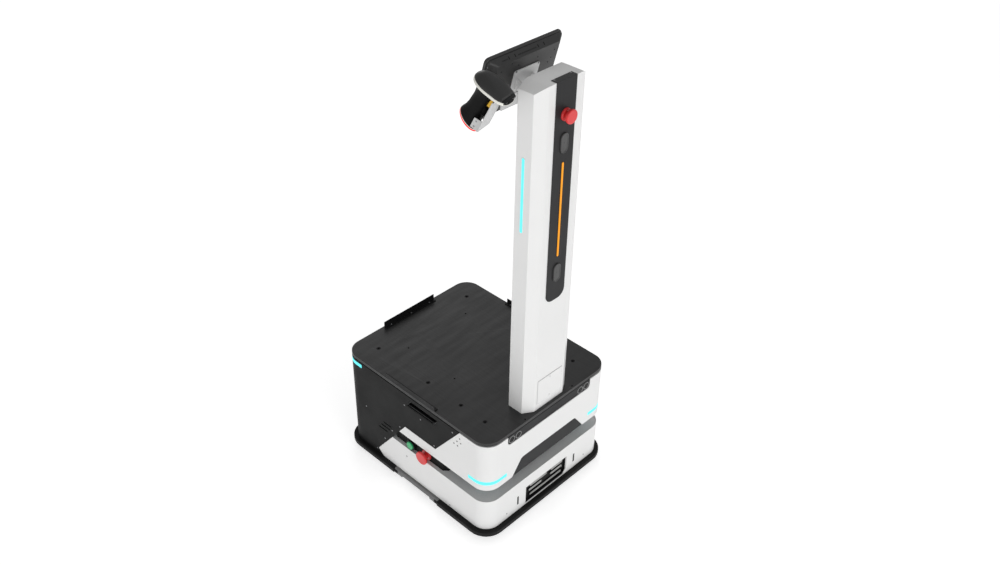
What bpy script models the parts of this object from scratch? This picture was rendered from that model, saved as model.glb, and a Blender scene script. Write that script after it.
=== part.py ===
"""Mobile picking robot: a wheeled base with a load deck, a light mast, a tilting tablet
and a hand scanner in a holder.

Every separate piece is one object, in metres with +Z up. The origin is on the floor at the
centre of the base, and the front of the robot, which carries the mast, faces -Y.
"""
import math

import bmesh
import bpy
from mathutils import Matrix, Vector

# ---------------------------------------------------------------- driving dimensions (mm)
MM = 0.001
GAP = 0.3                      # clearance between neighbouring pieces

BODY_HX = 250.0                # half width of the covers
BODY_HY = 293.0                # half length of the covers
CORNER_R = 48.0                # plan radius of the four body corners
WALL = 3.0                     # cover thickness
BUMPER_OUT = 14.0              # how far the bumper stands out of the covers

BUMPER_Z = (20.0, 37.0)
LOWER_Z = (37.3, 147.0)
SLOT_Z = (147.0, 193.0)        # scanner slot round the front and sides
UPPER_Z = (193.0, 357.0)
DECK_Z = (360.0, 372.0)
FLOOR_PLATE_Z = (143.0, 146.0)
CHASSIS_Z = (76.0, 82.0)

STOP_Y = -41.0                 # emergency stop on the left side of the slot
AXLE_Y = -10.0                 # drive axle, a little ahead of the middle
WHEEL_R = 65.0
CASTER_R = 25.0
CASTER_TRAIL = 18.0
CASTER_X = 185.0
CASTER_Y = 225.0

MAST_FRONT_Y = -283.0
MAST_CHAMFER_Y = -264.0
MAST_BACK_Y = -215.0
MAST_FACE_HX = 58.0            # half width of the front face
MAST_HX = 88.0                 # half width over the side faces
MAST_Z = (DECK_Z[1] + GAP, 1344.0)
MAST_SHOULDER_Z = 1327.0       # where the sloped top facets meet the side faces
STRIP_HX = 35.0
STRIP_Z0 = 728.0
STRIP_T = 1.4

TABLET_TILT = 15.0             # degrees from vertical at rest
TABLET_TOP = Vector((0.0, -147.0, 1388.0))
TABLET_HX = 127.0
TABLET_H = 168.0
TABLET_T = 27.4
HINGE_BACK = 55.0              # hinge axis behind the screen plane
HINGE_DOWN = 88.0              # hinge axis below the tablet's top edge

SCANNER_AT = Vector((-160.0, -196.0, 1350.0))
SCANNER_YAW = 12.0             # degrees, nose turned towards the mast
SCANNER_PITCH = 26.0           # degrees, nose down
HANDLE_L = 110.0
BASE_LEAN = 0.42               # drop of the scanner base towards its front, per unit length

# ---------------------------------------------------------------- colours (linear RGB)
WHITE = (0.80, 0.80, 0.80)
GREY = (0.42, 0.42, 0.42)
DECK_BLACK = (0.035, 0.035, 0.036)
COVER_BLACK = (0.028, 0.029, 0.029)
RUBBER = (0.012, 0.012, 0.012)
GLASS_BLACK = (0.010, 0.010, 0.012)
STEEL = (0.50, 0.50, 0.50)
RED = (0.75, 0.03, 0.03)
GREEN = (0.02, 0.35, 0.12)
YELLOW = (0.72, 0.36, 0.0)
CYAN = (0.10, 0.95, 1.0)
ORANGE = (1.0, 0.35, 0.02)


# ---------------------------------------------------------------- modelling helpers
def clear_scene():
    for obj in list(bpy.data.objects):
        bpy.data.objects.remove(obj, do_unlink=True)


def finish(name, colour, roughness, metallic):
    """Give a piece its own plain surface."""
    material = bpy.data.materials.new(name + "_finish")
    material.use_nodes = True
    shader = material.node_tree.nodes["Principled BSDF"]
    shader.inputs["Base Color"].default_value = (*colour, 1.0)
    shader.inputs["Roughness"].default_value = roughness
    shader.inputs["Metallic"].default_value = metallic
    return material


def solid(name, points, faces, look=None, smooth=None):
    """One closed mesh from points in millimetres; look is (colour, roughness, metallic)."""
    mesh = bpy.data.meshes.new(name)
    mesh.from_pydata([[c * MM for c in p] for p in points], [], faces)
    shape = bmesh.new()
    shape.from_mesh(mesh)
    bmesh.ops.recalc_face_normals(shape, faces=shape.faces)
    shape.to_mesh(mesh)
    shape.free()
    if smooth is not None:
        mesh.shade_smooth()
        mesh.set_sharp_from_angle(angle=math.radians(smooth))
    obj = bpy.data.objects.new(name, mesh)
    bpy.context.scene.collection.objects.link(obj)
    if look:
        mesh.materials.append(finish(name, *look))
    return obj


def loft(name, loops, look=None, ring=False, smooth=30.0):
    """Skin a stack of equal loops, each counter-clockwise about the stacking direction.

    A ring closes the last loop onto the first; otherwise both ends are capped.
    """
    count = len(loops[0])
    points = [p for loop in loops for p in loop]
    faces = []
    pairs = [(k, k + 1) for k in range(len(loops) - 1)]
    if ring:
        pairs.append((len(loops) - 1, 0))
    for low, high in pairs:
        for k in range(count):
            nxt = (k + 1) % count
            faces.append((low * count + k, low * count + nxt, high * count + nxt, high * count + k))
    if not ring:
        faces.append(tuple(reversed(range(count))))
        last = (len(loops) - 1) * count
        faces.append(tuple(last + k for k in range(count)))
    return solid(name, points, faces, look, smooth)


def area(outline):
    return 0.5 * sum(a[0] * b[1] - b[0] * a[1] for a, b in zip(outline, outline[1:] + outline[:1]))


def extrude(name, outline, axis, low, high, look=None, smooth=30.0):
    """Extrude a flat outline along X (outline y, z), Y (outline z, x) or Z (outline x, y)."""
    if area(outline) < 0:
        outline = outline[::-1]
    place = {"X": lambda p, d: (d, p[0], p[1]),
             "Y": lambda p, d: (p[1], d, p[0]),
             "Z": lambda p, d: (p[0], p[1], d)}[axis]
    return loft(name, [[place(p, d) for p in outline] for d in (low, high)], look, smooth=smooth)


def block(name, x, y, z, look=None):
    """A rectangular block between pairs of coordinates."""
    return extrude(name, [(x[0], y[0]), (x[1], y[0]), (x[1], y[1]), (x[0], y[1])], "Z", *z, look)


def arc(cx, cy, radius, start, end, steps):
    """Points on an arc, in degrees."""
    angles = [math.radians(start + (end - start) * k / steps) for k in range(steps + 1)]
    return [(cx + radius * math.cos(a), cy + radius * math.sin(a)) for a in angles]


def rounded_rect(half_x, low_y, high_y, radius, steps=8):
    """Counter-clockwise rounded rectangle, centred on X."""
    outline = []
    for cx, cy, start in ((half_x - radius, high_y - radius, 0), (radius - half_x, high_y - radius, 90),
                          (radius - half_x, low_y + radius, 180), (half_x - radius, low_y + radius, 270)):
        outline += arc(cx, cy, radius, start, start + 90, steps)
    return outline


def body_outline(inset, steps=8):
    """The body's plan outline, moved inwards by inset."""
    return rounded_rect(BODY_HX - inset, inset - BODY_HY, BODY_HY - inset, CORNER_R - inset, steps)


def at_height(outline, z):
    return [(x, y, z) for x, y in outline]


def shell_ring(name, outer, inner, low, high, look=None):
    """An upright wall between two outlines of equal point count."""
    return loft(name, [at_height(outer, low), at_height(outer, high),
                       at_height(inner, high), at_height(inner, low)], look, ring=True)


def frame_from_axis(axis):
    """Two unit vectors square to an axis, making a right-handed set with it."""
    axis = Vector(axis).normalized()
    helper = Vector((0, 0, 1)) if abs(axis.z) < 0.9 else Vector((1, 0, 0))
    first = helper.cross(axis).normalized()
    return first, axis.cross(first), axis


def turned(name, profile, centre, axis, look=None, steps=32, smooth=30.0):
    """Turn (distance, radius) pairs about an axis through centre; both ends are flat."""
    first, second, along = frame_from_axis(axis)
    centre = Vector(centre)
    loops = []
    for distance, radius in profile:
        middle = centre + along * distance
        loops.append([tuple(middle + first * x + second * y)
                      for x, y in arc(0.0, 0.0, radius, 0.0, 360.0, steps)[:-1]])
    return loft(name, loops, look, smooth=smooth)


def rod(name, start, end, radius, look=None, steps=24):
    start, end = Vector(start), Vector(end)
    return turned(name, [(0.0, radius), ((end - start).length, radius)], start, end - start, look, steps)


def combine(obj, operation, *tools):
    """Cut, join or trim a piece with construction shapes, which are not part of the model."""
    for tool in tools:
        tool.hide_render = True
        tool.display_type = "WIRE"
        tool.data.materials.clear()
        step = obj.modifiers.new(operation.lower(), "BOOLEAN")
        step.operation = operation
        step.solver = "EXACT"
        step.object = tool
    return obj


def cut(obj, *tools):
    return combine(obj, "DIFFERENCE", *tools)


def join(obj, *tools):
    return combine(obj, "UNION", *tools)


def trim(obj, tool):
    return combine(obj, "INTERSECT", tool)


def pivot(obj, point, parent=None):
    """Move a piece's origin to a point on its joint axis, without moving the piece."""
    point = Vector(point) * MM
    obj.data.transform(Matrix.Translation(-point))
    obj.location = point
    if parent:
        obj.parent = parent
        obj.location = point - parent.location
    return obj


# ---------------------------------------------------------------- chassis and running gear
def chassis():
    """Floor pan, load frame, battery and computer."""
    plate = extrude("chassis_plate", rounded_rect(232, -262, 262, 40, 5), "Z", *CHASSIS_Z,
                    (STEEL, 0.5, 0.9))
    for side in (-1, 1):
        wheel_well = sorted((side * 198, side * 240))
        motor_bay = sorted((side * 84, side * 240))
        cut(plate, block("well", wheel_well, (AXLE_Y - 78, AXLE_Y + 78), (70, 90)))
        cut(plate, block("bay", motor_bay, (AXLE_Y - 34, AXLE_Y + 34), (70, 90)))

    frame_outer = rounded_rect(188, -150, 232, 10, 3)
    frame_inner = rounded_rect(185, -147, 229, 7, 3)
    frame = shell_ring("body_frame", frame_outer, frame_inner, FLOOR_PLATE_Z[1] + GAP,
                       DECK_Z[0] - GAP, (STEEL, 0.5, 0.9))
    for post_x in (-174, 174):
        for post_y in (-95, 56):
            join(frame, block("post", (post_x - 11.5, post_x + 11.5), (post_y - 11, post_y + 11),
                              (CHASSIS_Z[1] + GAP, 200)))

    floor_plate = extrude("slot_floor", body_outline(WALL + GAP), "Z", *FLOOR_PLATE_Z, (GREY, 0.5, 0.2))
    for post_x in (-174, 174):
        for post_y in (-95, 56):
            cut(floor_plate, block("post_hole", (post_x - 12, post_x + 12),
                                   (post_y - 11.5, post_y + 11.5), (140, 150)))

    block("battery_pack", (-150, 150), (72, 240), (CHASSIS_Z[1] + GAP, 140), (COVER_BLACK, 0.6, 0.0))
    block("control_computer", (-110, 110), (-240, -112), (CHASSIS_Z[1] + GAP, 138), (STEEL, 0.4, 0.8))


def lidar():
    """Round laser scanner standing in the slot behind the front opening."""
    z = FLOOR_PLATE_Z[1] + GAP
    turned("lidar_sensor", [(0, 35), (14, 35), (15, 32), (33, 32), (34, 35), (43, 35), (45.5, 32)],
           (0, -190, z), (0, 0, 1), (GLASS_BLACK, 0.2, 0.0))


def drive_unit(side, label):
    """Gear motor on its carrier, and the wheel that it turns."""
    axle = Vector((0, AXLE_Y, WHEEL_R))
    motor = turned("gear_motor_" + label,
                   [(0, 24), (2, 27), (66, 27), (66.5, 31), (112, 31)],
                   axle + Vector((side * 88, 0, 0)), (side, 0, 0), (STEEL, 0.35, 0.9), steps=28)
    carrier_x = sorted((side * 120, side * 192))
    join(motor, block("carrier", carrier_x, (AXLE_Y - 52, AXLE_Y + 46), (CHASSIS_Z[1] + GAP, 90)))

    tread = [(0, 14), (0.5, 50), (-3, 52), (-3, 61), (0, 65), (26, 65), (29, 61), (29, 52),
             (22, 50), (22, 16), (20, 14)]
    wheel = turned("drive_wheel_" + label, tread, axle + Vector((side * 205, 0, 0)), (side, 0, 0),
                   (RUBBER, 0.8, 0.0), steps=40)
    pivot(wheel, axle + Vector((side * 220, 0, 0)))


def caster(side, end, label):
    """Swivel fork with a trailing wheel."""
    x, y = side * CASTER_X, end * CASTER_Y
    wheel_y = y + CASTER_TRAIL
    top = CHASSIS_Z[0] - GAP
    fork = turned("caster_fork_" + label, [(0, 21), (5, 21), (10, 16)], (x, y, top - 10), (0, 0, 1),
                  (STEEL, 0.35, 0.9), steps=24)
    cheek = [(y - 15, top - 6), (y - 15, top - 12), (wheel_y - 9, 24)]
    cheek += arc(wheel_y, CASTER_R, 9, 190, 360, 5)
    cheek += [(y + 19, top - 14), (y + 15, top - 6)]
    for cheek_x in (-13, 10):
        join(fork, extrude("cheek", cheek, "X", x + cheek_x, x + cheek_x + 3))
    pivot(fork, (x, y, top))
    wheel = turned("caster_wheel_" + label,
                   [(-9.2, 5), (-9, 20), (-7, 24), (-4, CASTER_R), (4, CASTER_R), (7, 24), (9, 20), (9.2, 5)],
                   (x, wheel_y, CASTER_R), (1, 0, 0), (RUBBER, 0.7, 0.0), steps=28)
    pivot(wheel, (x, wheel_y, CASTER_R))


# ---------------------------------------------------------------- covers
def cover_edge(offset):
    """Side view (y, z) of the slanted joint between the white covers and the rear cover."""
    return [(-187 + offset, UPPER_Z[1] + 10), (-187 + offset, UPPER_Z[1]), (-89 + offset, 228.6 + offset),
            (38 + offset * 0.4, 228.6 + offset), (165 + offset, 57), (143 + offset, LOWER_Z[0]),
            (143 + offset, LOWER_Z[0] - 10)]


def covers():
    """Lower and upper front covers in white, and the dark rear cover."""
    front_edge = cover_edge(-0.3)
    lower = shell_ring("lower_cover", body_outline(0), body_outline(WALL), *LOWER_Z, (WHITE, 0.35, 0.0))
    trim(lower, extrude("lower_mask", [(-400, 20)] + front_edge[-1:-5:-1] + [(-400, 228)], "X", -300, 300))
    cut(lower, *charge_opening_tools())
    for slit_x in (-121, 121):
        cut(lower, block("slit", (slit_x - 3, slit_x + 3), (-300, -280), (61, 93)))

    upper = shell_ring("upper_cover", body_outline(0), body_outline(WALL), *UPPER_Z, (WHITE, 0.35, 0.0))
    trim(upper, extrude("upper_mask", [(-400, 150)] + [(96, 150)] + front_edge[3::-1] + [(-400, 367)],
                        "X", -300, 300))
    cut(upper, extrude("window_tool", window_outline(0.4), "Y", -300, -280))
    cut(upper, extrude("strip_tool", strip_outline(0.4), "Y", -300, -280))
    for side, label in ((-1, "left"), (1, "right")):
        cut(upper, corner_strip("light_tool", side, -1, 213.5, 225.5, 0.4, 5.0))
        corner_strip("front_light_" + label, side, -1, 214, 225, 0.0, 2.4, (CYAN, 0.3, 0.0))

    rear = shell_ring("rear_cover", body_outline(0), body_outline(WALL), LOWER_Z[0], UPPER_Z[1],
                      (COVER_BLACK, 0.55, 0.0))
    back_edge = cover_edge(0.3)
    trim(rear, extrude("rear_mask", back_edge[::-1] + [(400, 367), (400, 27)], "X", -300, 300))
    for side, label in ((-1, "left"), (1, "right")):
        cut(rear, corner_strip("light_tool", side, 1, 338.5, 350.5, 0.4, 5.0))
        corner_strip("rear_light_" + label, side, 1, 339, 350, 0.0, 2.4, (CYAN, 0.3, 0.0))
        cut(rear, extrude("grip_tool", grip_outline(0.0), "X", *sorted((side * 240, side * 260))))
        grip_cup(side, label)
        for k in range(3):
            y, z = 134 + 11 * k, 182 - 15 * k
            cut(rear, block("vent", sorted((side * 240, side * 260)), (y - 37, y), (z, z + 4)))


def charge_opening_tools():
    """Cutters for the charging window at the foot of the lower cover."""
    outline = [(40, -88), (40, 74), (57, 88), (105, 88), (105, -88)]
    return [extrude("charge_tool", outline, "Y", -300, -280)]


def window_outline(grow):
    """Outline (z, x) of the camera window, a trapezoid with round upper corners."""
    low, high = UPPER_Z[0], 244 + grow
    right = [(low - 5, 149 + grow), (low, 149 + grow)] + [
        (high - 14 + 14 * math.sin(math.radians(a)), 119 + grow - 14 + 14 * math.cos(math.radians(a)))
        for a in (25, 45, 65, 90)]
    return right + [(z, -x) for z, x in reversed(right)]


def strip_outline(grow):
    """Outline (z, x) of the ultrasonic sensor strip under the deck's front edge."""
    low = 327 - grow
    half = 170 + grow
    corner = [(low + 12 - 12 * math.cos(math.radians(a)), half - 12 + 12 * math.sin(math.radians(a)))
              for a in (0, 22, 45, 67, 90)]
    right = corner + [(UPPER_Z[1] + 5, half)]
    return right + [(z, -x) for z, x in reversed(right)]


def corner_path(side, end, offset, before, after, steps=8):
    """Plan points from one flat wall round a body corner onto the next."""
    cx, cy = BODY_HX - CORNER_R, BODY_HY - CORNER_R
    radius = CORNER_R - offset
    points = [(cx + radius, cy - before)] + arc(cx, cy, radius, 0, 90, steps) + [(cx - after, cy + radius)]
    return [(side * x, end * y) for x, y in points]


def corner_strip(name, side, end, low, high, grow, depth, look=None):
    """A light guide, or its cutter, that follows a body corner."""
    outside = corner_path(side, end, -0.2 - grow * 2, 24 + grow, 30 + grow)
    inside = corner_path(side, end, depth, 24 + grow, 30 + grow)
    outline = outside + inside[::-1]
    return extrude(name, outline, "Z", low, high, look)


def grip_outline(inset):
    """Side view (y, z) of the hand opening, with a front end that follows the covers' joint."""
    low, high = 318 + inset, 345 - inset
    return [(29 - 1.3 * inset, low), (11 - 1.3 * inset, high), (1.3 * inset - 104, high),
            (1.3 * inset - 84, low)]


def grip_cup(side, label):
    """Finger pocket behind each side opening, for lifting the robot."""
    cup = extrude("grip_cup_" + label, grip_outline(0.4), "X", *sorted((side * 224, side * 249.6)),
                  (GLASS_BLACK, 0.6, 0.0))
    cut(cup, extrude("pocket", grip_outline(2.4), "X", *sorted((side * 226, side * 260))))
    join(cup, block("bar", sorted((side * 243, side * 248)), (-86.5, 22.3), (323.5, 326.5)))


def bumpers():
    """Rubber skirt in two halves, with a panel over each drive wheel between them."""
    for name, cut_y in (("front_bumper", (-400, -104)), ("rear_bumper", (84, 400))):
        low, high = BUMPER_Z
        loops = [at_height(body_outline(1.0 - BUMPER_OUT), low), at_height(body_outline(-BUMPER_OUT), low + 1.5),
                 at_height(body_outline(-BUMPER_OUT), high - 3), at_height(body_outline(3 - BUMPER_OUT), high),
                 at_height(body_outline(WALL + 1), high), at_height(body_outline(WALL + 1), low)]
        bumper = loft(name, loops, (RUBBER, 0.6, 0.0), ring=True)
        trim(bumper, block("half", (-300, 300), cut_y, (0, 60)))
    for side, label in ((-1, "left"), (1, "right")):
        profile = [(side * 246, 21), (side * 261, 21), (side * 261, 29), (side * 257, 36.7), (side * 246, 36.7)]
        outline = [(z, x) for x, z in profile]
        panel = extrude("wheel_arch_panel_" + label, outline, "Y", -103.7, 83.7, (GREY, 0.6, 0.2))
        cut(panel, block("relief", sorted((side * 255, side * 270)), (-70, 50), (15, 27)))


def front_details():
    """Sensor strip, camera window and charging port in the front covers."""
    extrude("sensor_strip", strip_outline(0.0), "Y", -291.6, -288, (GLASS_BLACK, 0.4, 0.0))
    strip = bpy.data.objects["sensor_strip"]
    cut(strip, block("strip_top", (-200, 200), (-300, -280), (UPPER_Z[1], 380)))
    window = extrude("camera_window", window_outline(0.0), "Y", -292.2, -288, (GLASS_BLACK, 0.25, 0.0))
    cut(window, block("window_foot", (-200, 200), (-300, -280), (150, UPPER_Z[0] + 0.5)))

    port = block("charge_port", (-87.6, 87.6), (-289.6, -270), (38, 104.6), (GLASS_BLACK, 0.5, 0.0))
    cut(port, block("port_hollow", (-85, 85), (-300, -282.5), (42, 102)))
    for z, ends in ((92, ((-66, 8), (24, 76))), (76, ((-70, -14), (22, 74))), (56, ((-66, 72),))):
        for x in ends:
            join(port, block("contact", x, (-286.5, -281), (z - 4, z + 4)))


def side_panel():
    """Control panel in the left side of the slot, with start and stop buttons."""
    outline = [(-238, -106), (-226, -118), (-214, -118), (-214, 90), (-238, 90)]
    panel = extrude("side_panel", outline, "Z", FLOOR_PLATE_Z[1] + GAP, SLOT_Z[1] - GAP,
                    (COVER_BLACK, 0.5, 0.0))
    join(panel, rod("start_bezel", (-236, 20, 166), (-248, 20, 166), 16))
    cut(panel, rod("start_bore", (-200, 20, 166), (-260, 20, 166), 13.2))
    join(panel, rod("stop_collar", (-236, STOP_Y, 166), (-243, STOP_Y, 166), 17))
    cut(panel, rod("stop_bore", (-200, STOP_Y, 166), (-260, STOP_Y, 166), 8.6))
    start = turned("start_button", [(0, 12.5), (29.2, 12.5), (30, 11.5)], (-222, 20, 166), (-1, 0, 0),
                   (GREEN, 0.35, 0.0), steps=28)
    pivot(start, (-252, 20, 166))
    stop = estop_head("side_estop_head", (-238, STOP_Y, 166), (-1, 0, 0), 21.0, 26.0)
    pivot(stop, (-264, STOP_Y, 166))


def estop_head(name, base, axis, radius, height):
    """Mushroom stop button: a stem, a neck that flares outwards and a flat round head."""
    profile = [(-14, 8), (height - 13, 8), (height - 9, radius * 0.72), (height - 7.5, radius * 0.97),
               (height - 6, radius), (height - 2, radius), (height - 0.6, radius * 0.95),
               (height, radius * 0.80)]
    return turned(name, profile, base, axis, (RED, 0.4, 0.0), steps=32, smooth=40.0)


# ---------------------------------------------------------------- load deck
def deck():
    """Load plate with countersunk fixings and spare threaded holes, and the tote rails."""
    low, high = DECK_Z
    loops = [at_height(rounded_rect(BODY_HX - i, i - BODY_HY + 0.5, BODY_HY - 0.5 - i, CORNER_R - i, 10), z)
             for i, z in ((0.6, low), (0.0, low + 0.6), (0.0, high - 1.0), (1.0, high))]
    plate = loft("deck_plate", loops, (DECK_BLACK, 0.45, 0.6), smooth=50.0)
    for x in (-181, 181):
        for y in (-216, -123, 10, 223):
            cut(plate, turned("countersink", [(-14, 3.4), (-4, 3.4), (1, 7.4)], (x, y, high), (0, 0, 1), steps=14))
    for x, y in ((-117, 163), (117, 163), (-116, -30), (116, -30), (-97, -286), (97, -286)):
        cut(plate, rod("spare_hole", (x, y, low - 5), (x, y, high + 5), 2.8, steps=12))

    base = high + GAP
    outline = [(u, base + v) for u, v in rail_section(20)]
    extrude("tote_rail_rear", [(286 - u, z) for u, z in outline], "X", -104, 97, (GLASS_BLACK, 0.5, 0.2))
    for side, label in ((-1, "left"), (1, "right")):
        outline = [(base + v, side * (BODY_HX - u)) for u, v in rail_section(15)]
        extrude("tote_rail_" + label, outline, "Y", -90, 112, (GLASS_BLACK, 0.5, 0.2))


def rail_section(height):
    """Section of an angle rail: distance in from its outer face, and height."""
    return [(0, 0), (12, 0), (12, 2.5), (2.5, 2.5), (2.5, height), (0, height)]


# ---------------------------------------------------------------- mast
def mast_outline(inset, back_y):
    slope = inset * 0.6
    return [(slope - MAST_FACE_HX, MAST_FRONT_Y + inset), (MAST_FACE_HX - slope, MAST_FRONT_Y + inset),
            (MAST_HX - inset, MAST_CHAMFER_Y + slope), (MAST_HX - inset, back_y),
            (inset - MAST_HX, back_y), (inset - MAST_HX, MAST_CHAMFER_Y + slope)]


def mast():
    """Mast cover with its faceted top, rear plate, inner post and everything set in them."""
    outline = mast_outline(0.0, MAST_BACK_Y)
    inner_back = [(-MAST_FACE_HX, MAST_BACK_Y), (MAST_FACE_HX, MAST_BACK_Y)]
    low = at_height(outline, MAST_Z[0])
    top = [(x, y, MAST_Z[1] if abs(x) < MAST_HX else MAST_SHOULDER_Z) for x, y in outline]
    points = low + top + [(x, y, MAST_Z[1]) for x, y in inner_back]
    faces = [(5, 4, 3, 2, 1, 0), (0, 1, 7, 6), (1, 2, 8, 7), (2, 3, 9, 8), (4, 5, 11, 10), (5, 0, 6, 11),
             (3, 4, 10, 12, 13, 9), (8, 9, 13, 7), (11, 6, 12, 10), (6, 7, 13, 12)]
    cover = solid("mast_cover", points, faces, (WHITE, 0.35, 0.0), smooth=30.0)
    cut(cover, extrude("mast_hollow", mast_outline(WALL, MAST_BACK_Y + 20), "Z", MAST_Z[0] - 20, 1318))
    for tool in mast_front_tools():
        cut(cover, tool)

    block("mast_rear_cover", (WALL + GAP - MAST_HX, MAST_HX - WALL - GAP), (MAST_BACK_Y - 3, MAST_BACK_Y),
          (MAST_Z[0], 1318 - GAP), (WHITE, 0.4, 0.0))
    spine = block("mast_spine", (-40, 40), (-258, -222), (MAST_Z[0], 1300), (STEEL, 0.4, 0.9))
    cut(spine, block("spine_bore", (-36, 36), (-254, -226), (MAST_Z[0] - 20, 1320)))

    face = MAST_FRONT_Y - GAP
    strip_side = [(face, STRIP_Z0), (face, MAST_Z[1] + GAP), (-266, MAST_Z[1] + GAP),
                  (-266, MAST_Z[1] + GAP + STRIP_T), (face - STRIP_T, MAST_Z[1] + GAP + STRIP_T),
                  (face - STRIP_T, STRIP_Z0)]
    strip = extrude("control_strip", strip_side, "X", -STRIP_HX, STRIP_HX, (DECK_BLACK, 0.4, 0.0))
    for side in (-1, 1):
        radius = 24
        corner = [(STRIP_Z0 - 5, side * (STRIP_HX + 5)), (STRIP_Z0 - 5, side * (STRIP_HX - radius))]
        corner += [(STRIP_Z0 + radius - radius * math.cos(a), side * (STRIP_HX - radius + radius * math.sin(a)))
                   for a in [math.radians(15 * k) for k in range(7)]]
        corner += [(STRIP_Z0 + radius, side * (STRIP_HX + 5))]
        cut(strip, extrude("strip_corner", corner, "Y", -290, -270))
    join(strip, rod("stop_collar", (0, face - 0.7, 1257), (0, face - STRIP_T - 5, 1257), 15.5))
    for tool in mast_front_tools():
        cut(strip, tool)

    face -= STRIP_T
    for label, z in (("upper", 1183), ("lower", 814)):
        button = extrude("pill_button_" + label, pill(z, 13.2, 53), "Y", face - 2.6, face + 4,
                         (DECK_BLACK, 0.4, 0.0))
        pivot(button, (0, face, z))
    stop = estop_head("mast_estop_head", (0, face, 1257), (0, -1, 0), 18.2, 22.0)
    pivot(stop, (0, face - 22, 1257))
    extrude("status_light", pill(997, 3.0, 268), "Y", face - 1.2, face - GAP, (ORANGE, 0.3, 0.0))
    for side, label in ((-1, "left"), (1, "right")):
        plate = [(y - 239.5, z) for z, y in pill(1055, 3.8, 206)]
        extrude("mast_light_" + label, plate, "X", *sorted((side * (MAST_HX + GAP), side * (MAST_HX + 1.3))),
                (CYAN, 0.3, 0.0))
    block("access_cover", (-47.5, 47.5), (MAST_FRONT_Y - 1.2, MAST_FRONT_Y - GAP), (394, 474), (WHITE, 0.35, 0.0))


def pill(z, half, length):
    """Outline (z, x) of an upright slot with round ends."""
    straight = length / 2 - half
    upper = [(z + straight + half * math.cos(math.radians(a)), half * math.sin(math.radians(a)))
             for a in range(-90, 91, 20)]
    lower = [(2 * z - w, -x) for w, x in upper]
    return upper + lower


def mast_front_tools():
    """Cutters for the holes behind the buttons on the mast's front."""
    tools = [extrude("pill_hole", pill(z, 13.7, 54), "Y", -290, -270) for z in (1183, 814)]
    tools.append(rod("stop_hole", (0, -300, 1257), (0, -270, 1257), 8.6))
    return tools


# ---------------------------------------------------------------- tablet
def tablet_point(x, back, down):
    """A point given across the tablet, behind its screen plane and below its top edge."""
    tilt = math.radians(TABLET_TILT)
    y = TABLET_TOP.y - back * math.cos(tilt) + down * math.sin(tilt)
    z = TABLET_TOP.z - back * math.sin(tilt) - down * math.cos(tilt)
    return (x, y, z)


def tablet_loops(rows, steps=5):
    """Rounded-rectangle loops across the tablet: (back, half width, top, bottom, radius)."""
    loops = []
    for back, half, top, bottom, radius in rows:
        outline = rounded_rect(half, top, bottom, radius, steps)
        loops.append([tablet_point(x, back, down) for x, down in outline])
    return loops


def tablet():
    """Rugged tablet, its tilting plate and the fixed arm on the back of the mast."""
    hinge = tablet_point(0, HINGE_BACK, HINGE_DOWN)
    front_rows = [(0, TABLET_HX - 1.5, 1.5, TABLET_H - 1.5, 11), (1.5, TABLET_HX, 0, TABLET_H, 12),
                  (8, TABLET_HX, 0, TABLET_H, 12), (9.5, TABLET_HX - 2, 2, TABLET_H - 2, 10)]
    front = loft("tablet_front", tablet_loops(front_rows), (GLASS_BLACK, 0.4, 0.0), smooth=40.0)
    screen = [(-2, 111, 14, TABLET_H - 14, 3), (1.0, 111, 14, TABLET_H - 14, 3)]
    cut(front, loft("screen_recess", tablet_loops(screen)))
    housing_rows = [(9.8, 124, 4, TABLET_H - 4, 8), (14, 123, 5, TABLET_H - 5, 8),
                    (TABLET_T - 1.5, 106, 12, TABLET_H - 13, 5), (TABLET_T, 104, 13.4, TABLET_H - 15, 4)]
    housing = loft("tablet_housing", tablet_loops(housing_rows), (DECK_BLACK, 0.5, 0.0), smooth=40.0)
    pivot(front, hinge)
    pivot(housing, hinge)

    plate_rows = [(TABLET_T + GAP, 43, 48, 130, 5), (TABLET_T + GAP + 2.5, 43, 48, 130, 5)]
    bracket = loft("tilt_bracket", tablet_loops(plate_rows, 3), (GREY, 0.45, 0.6))
    for x in (-28, 23):
        ear = [(TABLET_T + 1, HINGE_DOWN - 16), (TABLET_T + 1, HINGE_DOWN + 16), (HINGE_BACK + 7, HINGE_DOWN + 5),
               (HINGE_BACK + 8, HINGE_DOWN), (HINGE_BACK + 7, HINGE_DOWN - 5)]
        join(bracket, loft("ear", [[tablet_point(end, b, d) for b, d in ear] for end in (x, x + 5)]))
    join(bracket, rod("hinge_pin", (hinge[0] - 33, hinge[1], hinge[2]), (hinge[0] + 33, hinge[1], hinge[2]), 4.0))
    pivot(bracket, hinge)

    y, z = hinge[1], hinge[2]
    back = MAST_BACK_Y + GAP
    mount = block("tablet_mount", (-38, 38), (back, back + 5), (z - 38, z + 38), (GREY, 0.45, 0.6))
    for x in (-22, 14):
        ear = [(back + 2, z - 24), (y + 3, z - 9)] + arc(y, z, 9, -60, 60, 6) + [(y + 3, z + 9), (back + 2, z + 24)]
        join(mount, extrude("mount_ear", ear, "X", x, x + 8))
    cut(mount, rod("pin_bore", (-50, y, z), (50, y, z), 4.25))
    return hinge


# ---------------------------------------------------------------- hand scanner
def scanner_axes():
    """Unit vectors of the scanner: towards the nose, to its right, and up out of the handle."""
    yaw, pitch = math.radians(SCANNER_YAW), math.radians(SCANNER_PITCH)
    nose = Vector((math.sin(yaw) * math.cos(pitch), -math.cos(yaw) * math.cos(pitch), -math.sin(pitch)))
    right = Vector((math.cos(yaw), math.sin(yaw), 0.0))
    return nose, right, nose.cross(right)


def scanner_point(forward, right, up):
    nose, side, top = scanner_axes()
    return tuple(SCANNER_AT + nose * forward + side * right + top * up)


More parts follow.
